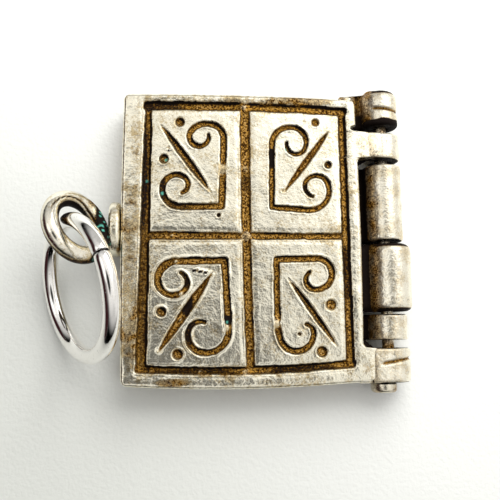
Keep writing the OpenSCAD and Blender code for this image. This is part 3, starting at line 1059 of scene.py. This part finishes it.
def build_slab(name, corners, z0, z1, bevel, silver, seed):
    """Low block of the back cover with rolled edges, from its corners seen from above."""
    corners = np.array(corners)
    along = np.linspace(0, 1, 20, endpoint=False)[:, None]
    sides = [a + (b - a) * along for a, b in zip(corners, np.roll(corners, -1, 0))]
    outline = soften(np.concatenate(sides), 3)
    middle = outline.mean(0)
    size = np.linalg.norm(outline - middle, axis=1).min()
    arc = quarter(bevel, np.linspace(0, math.pi / 2, 6))
    levels = [(z0, size)]
    levels += [(z0 + up, inset) for inset, up in arc[::-1]]
    levels += [(z1 - down, inset) for inset, down in arc]
    levels += [(z1, share * size) for share in (0.4, 0.7, 1.0)]
    rows = []
    for z, inset in levels:
        flat = middle + (outline - middle) * max(0.01, 1 - inset / size)
        rows.append(np.concatenate([flat, np.full((len(flat), 1), z)], 1))
    points = np.concatenate(rows)
    points[:, 2] += np.where(points[:, 2] > (z0 + z1) / 2, cast_skin(points, seed) - 0.02, 0)
    faces = grid_faces(len(levels), len(outline), closed=True)
    tarnish = 0.35 + 0.4 * noise(points, 0.5, seed + 5)
    make_piece(name, points, faces, silver, tarnish=tarnish)


def build_shoulder(silver):
    """Corner of the back cover that carries the top knuckle."""
    top = KNUCKLES[0][4] - 0.02
    start = HALF_W - SHOULDER_RUN
    corners = [(start + 0.02, HALF_H - 0.6), (HALF_W + 0.3, HALF_H - 0.6), (HALF_W + 0.3, top),
               (HALF_W - SHOULDER_RUN / 2, top), (start + 0.02, HALF_H)]
    build_slab("spine_shoulder", corners, 0.02, LEAF_T - 0.01, 0.12, silver, 211)


def pin_profile():
    """Radius and Y down the pin from the end of its head, and how many rows are the head's."""
    head_low = PIN_HEAD_TOP - PIN_HEAD_T
    profile = [(0.001, head_low + 0.01)]
    low_arc = quarter(PIN_HEAD_ROUND, np.linspace(0.1, math.pi / 2, 8))
    top_arc = quarter(PIN_HEAD_EDGE, np.linspace(0, math.pi / 2, 5))
    profile += [(PIN_HEAD_R - inset, head_low + up) for up, inset in low_arc]
    profile += [(PIN_HEAD_R - inset, PIN_HEAD_TOP - down) for inset, down in top_arc]
    head_rows = len(profile)
    profile += [(PIN_R, PIN_HEAD_TOP)]
    profile += [(PIN_R, y) for y in np.linspace(PIN_HEAD_TOP + 0.04, PIN_TOP - 0.12, PIN_ROWS)]
    profile += [(PIN_R - 0.03, PIN_TOP - 0.04), (PIN_R - 0.12, PIN_TOP - 0.005), (0.001, PIN_TOP)]
    return profile, head_rows


def build_pin(silver):
    """Hinge pin with a round head off its axis at the low end."""
    profile, head_rows = pin_profile()
    turn = np.linspace(0, 2 * math.pi, PIN_SIDES, endpoint=False)
    around = np.stack([np.cos(turn), 0 * turn, np.sin(turn)], 1)
    points = np.concatenate([around * r + (HINGE_X, y, HINGE_Z) for r, y in profile])
    skin = cast_skin(points, 90) * 0.8 - 0.015
    wide = np.repeat([r > 0.1 for r, y in profile], PIN_SIDES)
    points += np.tile(around, (len(profile), 1)) * (skin * wide)[:, None]
    points[:head_rows * PIN_SIDES, 0] -= PIN_HEAD_SHIFT
    faces = [face[::-1] for face in grid_faces(len(profile), PIN_SIDES, closed=True)]
    tarnish = 0.35 + 0.5 * noise(points, 0.6, 93)
    make_piece("hinge_pin_worn", points, faces, silver, node="hinge_pin", tarnish=tarnish)


# Bail

def facing_matrix(direction):
    """Rotation that turns Z to face a direction."""
    v = Vector(direction).normalized()
    return Matrix.Rotation(math.atan2(v.y, v.x), 3, "Z") @ Matrix.Rotation(math.acos(v.z), 3, "Y")


def build_loop(silver):
    """Thick wire loop with a long crease, soldered to its plate."""
    t = np.linspace(0, 2 * math.pi, LOOP_TURNS, endpoint=False)[:, None]
    s = np.linspace(0, 2 * math.pi, WIRE_SIDES, endpoint=False)[None, :]
    facing = np.array(facing_matrix(LOOP_FACING)).T
    core = wire_points(LOOP_R, 0, t, s) @ facing
    out = (wire_points(LOOP_R, LOOP_WIRE_R, t, s) @ facing - core) / LOOP_WIRE_R
    inward = -core[:, :2] / np.linalg.norm(core[:, :2], axis=1)[:, None]
    lean = (out[:, :2] * inward).sum(1)
    heading = np.degrees(np.arctan2(core[:, 1], core[:, 0]))
    across = np.degrees(np.arctan2(lean, out[:, 2]))
    crease_at = CREASE_AT - CREASE_LEAN * np.abs(heading - CREASE_MIDDLE)
    on_arc = rise(heading, 5, 25) * fall(heading, 165, 25)
    crease = on_arc * bell(across - crease_at, CREASE_SPREAD)
    bulk = 0.99 + 0.07 * np.cos(np.radians(heading + 100))
    loop = core + LOOP_CENTRE + out * (LOOP_WIRE_R * (bulk - CREASE_SINK * crease))[:, None]
    loop += out * cast_skin(loop, 101, 0.9)[:, None]
    joint = rise(loop[:, 0], JOINT_X, 0.35)
    stain = 0.5 * smooth_step(noise(loop, 0.5, 105) * 1.3) * on_arc
    # Painted shade: tarnish and black on the wire's underside and on its inner side round the hole
    shaded_underside = fall(0.25 * out[:, 1] + out[:, 2], 0.72, 0.6)
    shaded_lining = on_arc * rise(lean, 0.5, 0.3)
    faces = grid_faces(LOOP_TURNS, WIRE_SIDES, closed=True, joined=True)
    make_piece("bail_loop", loop, faces, silver,
               tarnish=crease + joint + stain + 0.8 * shaded_underside,
               soot=0.9 * crease + joint + 0.55 * shaded_underside + 0.7 * shaded_lining,
               verdigris=joint * rise(noise(loop, 0.13, 107), 0.48, 0.12))


def plate_profile():
    """X and inset from the rim of the ovals that make up the bail's plate."""
    centre_inset = PLATE_H / 2 - 0.01
    outer_x = PLATE_X - PLATE_T
    rim = quarter(PLATE_ROUND, np.linspace(0.05, math.pi / 2, 7))
    profile = [(PLATE_X, centre_inset)]
    profile += [(PLATE_X - drop, inset) for drop, inset in rim]
    profile += [(outer_x + drop, inset) for drop, inset in rim[::-1]]
    return profile + [(outer_x, inset) for inset in np.linspace(PLATE_ROUND + 0.08, centre_inset, 9)]


def build_bail_plate(silver):
    """Oval plate with a rounded rim, as a stack of ovals along X."""
    turn = np.linspace(0, 2 * math.pi, PLATE_SIDES, endpoint=False)
    end_shift = (PLATE_W - PLATE_H) / 2 * np.sign(np.cos(turn)) * (np.abs(np.cos(turn)) > 1e-6)
    middle_z = PLATE_Z + PLATE_H / 2
    rows = []
    for x, inset in plate_profile():
        r = PLATE_H / 2 - inset
        y = PLATE_Y + end_shift + r * np.cos(turn)
        rows.append(np.stack([0 * turn + x, y, middle_z + r * np.sin(turn)], 1))
    points = np.concatenate(rows)
    radial = points - np.array([0, PLATE_Y, middle_z])
    radial[:, 0] = 0
    radial /= np.linalg.norm(radial, axis=1)[:, None] + 1e-9
    points += radial * (cast_skin(points, 111, 1.2) - 0.02)[:, None]
    joint = fall(points[:, 0], PLATE_X - PLATE_T + 0.12, 0.1)
    joint = joint * bell(np.hypot(points[:, 1] - JOINT_Y, points[:, 2] - JOINT_Z), JOINT_R)
    make_piece("bail_plate", points, capped_faces(len(rows), PLATE_SIDES), silver,
               tarnish=0.05 + 0.9 * joint + 0.2 * noise(points, 0.5, 113),
               soot=joint,
               verdigris=joint * rise(noise(points, 0.13, 115), 0.3, 0.15))


def build_solder(silver):
    """Solder between the bail's plate and the back cover's edge."""
    x0, x1 = PLATE_X - PLATE_T / 2, 0.3 - HALF_W
    y0, y1 = PLATE_Y - PLATE_W / 4, PLATE_Y + PLATE_W / 4
    corners = [(x0, y0), (x1, y0), (x1, y1), (x0, y1)]
    build_slab("solder_seat", corners, SEAT_Z, LEAF_T - SEAT_Z, 0.08, silver, 221)


# Jump ring

def build_jump_ring(polished):
    """Round wire ring with a closing cut, in the place of the CAD ring."""
    t = RING_CUT + np.linspace(0, 2 * math.pi - RING_GAP / RING_R, RING_TURNS)[:, None]
    s = np.linspace(0, 2 * math.pi, WIRE_SIDES, endpoint=False)[None, :]
    wire = np.full((RING_TURNS, 1), RING_WIRE_R)
    wire[:3, 0] -= RING_SOFT_END
    wire[-3:, 0] -= RING_SOFT_END[::-1]
    turn = Matrix.Rotation(RING_TURN, 3, "Z") @ Matrix.Rotation(-RING_SLOPE, 3, "Y")
    points = wire_points(RING_R, wire, t, s) @ np.array(turn).T + np.array(RING_CENTRE)
    at_cut = np.zeros(RING_TURNS)
    at_cut[[0, -1]] = 0.8
    make_piece("jump_ring_wire", points, capped_faces(RING_TURNS, WIRE_SIDES), polished,
               node="jump_ring", soot=np.repeat(at_cut, WIRE_SIDES))


# Scene

def build_camera():
    data = bpy.data.cameras.new("photo_camera")
    data.sensor_width = SENSOR
    data.lens = FOCAL_PIXELS / IMAGE_PIXELS * SENSOR
    data.clip_start = 1 * MM
    data.clip_end = 2
    camera = bpy.data.objects.new("photo_camera", data)
    turn = Matrix.Identity(4)
    for tilt, axis in zip(CAMERA_TILT, "XYZ"):
        turn = turn @ Matrix.Rotation(math.radians(tilt), 4, axis)
    camera.matrix_world = Matrix.Translation(Vector(CAMERA_AT) * MM) @ turn
    bpy.context.scene.collection.objects.link(camera)
    bpy.context.scene.camera = camera


def build_floor():
    size = FLOOR_HALF * MM
    corners = [(-size, -size, 0), (size, -size, 0), (size, size, 0), (-size, size, 0)]
    mesh = bpy.data.meshes.new("floor")
    mesh.from_pydata(corners, [], [(0, 1, 2, 3)])
    mesh.materials.append(floor_material())
    floor = bpy.data.objects.new("floor", mesh)
    bpy.context.scene.collection.objects.link(floor)


def area_light(name, place, size, power, kind):
    """Square lamp aimed at the charm that lights surfaces or is mirrored in metal."""
    data = bpy.data.lights.new(name, "AREA")
    data.shape = "SQUARE"
    data.size = size * MM
    data.energy = power
    data.color = LAMP_COLOUR
    lamp = bpy.data.objects.new(name, data)
    lamp.location = Vector(place) * MM
    lamp.rotation_euler = (-lamp.location).to_track_quat("-Z", "Y").to_euler()
    lamp.visible_glossy = kind == "mirrored"
    lamp.visible_diffuse = kind == "lighting"
    bpy.context.scene.collection.objects.link(lamp)


def sky_patch(tree, key):
    """1 within the inner angle of a patch of sky, falling to 0 at the outer angle."""
    toward, lean, inner, outer = SKY_PATCHES[key]
    direction = Vector((math.tan(math.radians(toward)), math.tan(math.radians(lean)), 1)).normalized()
    item = add(tree, "ShaderNodeVectorMath", operation="DOT_PRODUCT")
    link(tree, add(tree, "ShaderNodeTexCoord").outputs["Generated"], item.inputs[0])
    item.inputs[1].default_value = direction
    return ramp(tree, item.outputs["Value"], math.cos(math.radians(outer)), math.cos(math.radians(inner)))


def build_sky():
    """Soft room: bright above and right, a window at the left, wine red at the lower left.

    It is dim over the lens and dark by the floor, and the camera itself sees it pale.
    """
    world = bpy.data.worlds.new("soft_room")
    world.use_nodes = True
    tree = world.node_tree
    background = tree.nodes["Background"]
    split = add(tree, "ShaderNodeSeparateXYZ")
    link(tree, add(tree, "ShaderNodeTexCoord").outputs["Generated"], split.inputs["Vector"])
    x, y, z = split.outputs
    bright = [times(tree, sky_patch(tree, key), amount) for key, amount in SKY_BRIGHT.items()]
    lens = minus(tree, 1.0, times(tree, sky_patch(tree, "lens"), SKY_DIM))
    level = times(tree, plus(tree, *bright, SKY_BASE), lens)
    high = ramp(tree, z, *WINE_HEIGHT)
    wine = times(tree, sky_patch(tree, "wine"), minus(tree, 1.0, times(tree, high, WINE_HIGH_LOSS)))
    lean = plus(tree, times(tree, x, SKY_LEAN[0]), times(tree, y, SKY_LEAN[1]))
    height = minus(tree, z, times(tree, lean, SKY_LEAN[2]))
    near_floor = greater(tree, ramp(tree, height, *SKY_HORIZON), times(tree, wine, WINE_LEVEL))
    window = sky_patch(tree, "window")
    level = plus(tree, times(tree, level, near_floor), times(tree, window, SKY_WINDOW))
    seen = add(tree, "ShaderNodeLightPath").outputs["Is Camera Ray"]
    red = minus(tree, minus(tree, wine, window, clamp=True), seen, clamp=True)
    link(tree, mix_colour(tree, red, SKY_COLOUR, SKY_WINE), background.inputs["Color"])
    link(tree, greater(tree, level, times(tree, seen, SKY_SEEN)), background.inputs["Strength"])
    bpy.context.scene.world = world


def build_light():
    for row in LAMPS:
        area_light(*row)
    build_sky()
    bpy.context.scene.view_settings.view_transform = "Standard"


def build_charm():
    silver = {name: silver_material(name, *row) for name, row in FINISHES.items()}
    worn = silver["cast_silver_worn"]
    build_leaves(worn)
    for i, row in enumerate(KNUCKLES):
        build_knuckle(row, silver["cast_silver_matt"], 120 + 10 * i)
    build_shoulder(worn)
    build_pin(silver["pin_silver_worn"])
    build_loop(silver["cast_silver_smooth"])
    build_bail_plate(worn)
    build_solder(worn)
    build_jump_ring(silver["polished_silver_bright"])


build_camera()
build_floor()
build_light()
build_charm()
